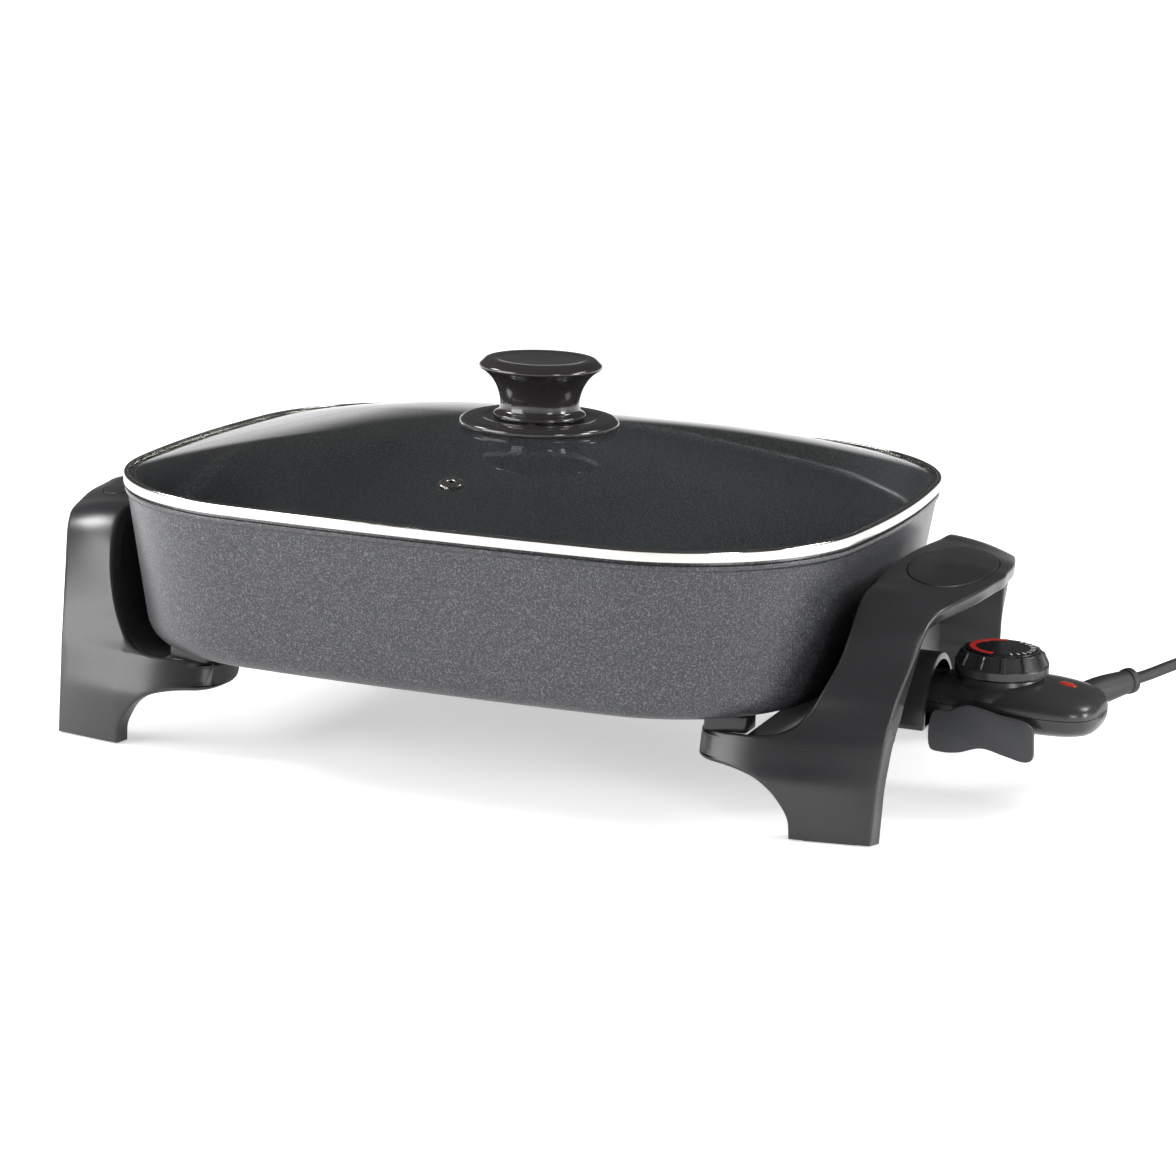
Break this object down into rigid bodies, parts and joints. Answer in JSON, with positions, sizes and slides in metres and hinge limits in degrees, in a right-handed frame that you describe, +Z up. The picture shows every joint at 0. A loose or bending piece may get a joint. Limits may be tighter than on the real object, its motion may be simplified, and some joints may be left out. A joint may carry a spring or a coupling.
{
  "type": "electric skillet",
  "caption": "Deep rounded-rectangular electric frying pan on two leg-and-handle brackets, with a lift-off domed glass lid and a plug-in dial heat control on a cord.",
  "frame": {"origin": "middle of the base of the whole appliance, on the surface that it stands on, with the cord left out", "axes": "+Z up, +X from the plain bracket towards the heat control, front at -Y"},
  "size_m": [0.7102, 0.4051, 0.2012],
  "materials": {
    "coated_pan": "dark charcoal non-stick coat with fine pale speckle",
    "element_sheath": "dull heat-tinted sheath",
    "plain_aluminium": "cast",
    "glass": "clear polished",
    "bright_steel": "polished",
    "knob_black": "high gloss",
    "silicone": "matt",
    "red_lens": "clear gloss",
    "lever_grey": "satin",
    "thermostat_parts": "plain",
    "cord_black": "matt",
    "dial_face": "satin",
    "control_black": "satin",
    "bracket_black": "satin moulded",
    "grip_black": "fine matt",
    "ceramic": "unglazed",
    "brass": "plain",
    "rubber_foot": "matt",
    "plain_steel": "plain"
  },
  "bodies": {
    "base": {"pan": "coated_pan", "heating_element": "element_sheath", "terminal_pin_1": "plain_steel", "terminal_pin_2": "plain_steel", "terminal_bush_1": "ceramic", "terminal_bush_2": "ceramic", "thermostat_well": "plain_aluminium", "left_bracket": "bracket_black", "right_bracket": "bracket_black", "left_grip_insert": "grip_black", "right_grip_insert": "grip_black", "probe_shroud": "bracket_black", "heat_spacer_front_left": "bracket_black", "heat_spacer_front_right": "bracket_black", "heat_spacer_back_left": "bracket_black", "heat_spacer_back_right": "bracket_black", "bracket_screw_1": "plain_steel", "bracket_screw_2": "plain_steel", "bracket_screw_3": "plain_steel", "bracket_screw_4": "plain_steel", "foot_pad_front_left": "rubber_foot", "foot_pad_front_right": "rubber_foot", "foot_pad_back_left": "rubber_foot", "foot_pad_back_right": "rubber_foot"},
    "lid": {"lid_glass": "glass", "lid_rim_band": "bright_steel", "vent_eyelet": "bright_steel", "knob_base_plate": "knob_black", "lid_knob": "knob_black", "knob_gasket": "silicone", "knob_washer": "plain_steel", "knob_screw": "plain_steel"},
    "control": {"probe_upper_housing": "control_black", "probe_lower_housing": "control_black", "thermostat_block": "thermostat_parts", "sensor_rod": "plain_steel", "contact_sleeve_1": "brass", "contact_sleeve_2": "brass", "indicator_lens": "red_lens", "housing_screw_1": "plain_steel", "housing_screw_2": "plain_steel", "strain_relief": "cord_black", "lever_pin": "plain_steel", "power_cord": "cord_black", "power_cord_coil": "cord_black", "coil_tie": "cord_black", "mains_plug": "cord_black", "plug_blade_1": "brass", "plug_blade_2": "brass"},
    "dial": {"dial_spindle": "plain_steel", "temperature_dial": "control_black", "dial_scale_disc": "dial_face"},
    "lever": {"release_lever": "lever_grey"}
  },
  "joints": [
    {"name": "lid_lift", "type": "slide", "parent": "base", "child": "lid", "axis": [0, 0, 1], "range_m": [0, 0.12]},
    {"name": "control_pull", "type": "slide", "parent": "base", "child": "control", "axis": [1, 0, 0], "range_m": [0, 0.1]},
    {"name": "dial_turn", "type": "hinge", "parent": "control", "child": "dial", "pos_m": [0.22184, 0, 0.07], "axis": [0, 0, 1], "range_deg": [0, 270]},
    {"name": "lever_swing", "type": "hinge", "parent": "control", "child": "lever", "pos_m": [0.20754, -0.012, 0.036], "axis": [0, 0, 1], "range_deg": [0, 4]}
  ]
}
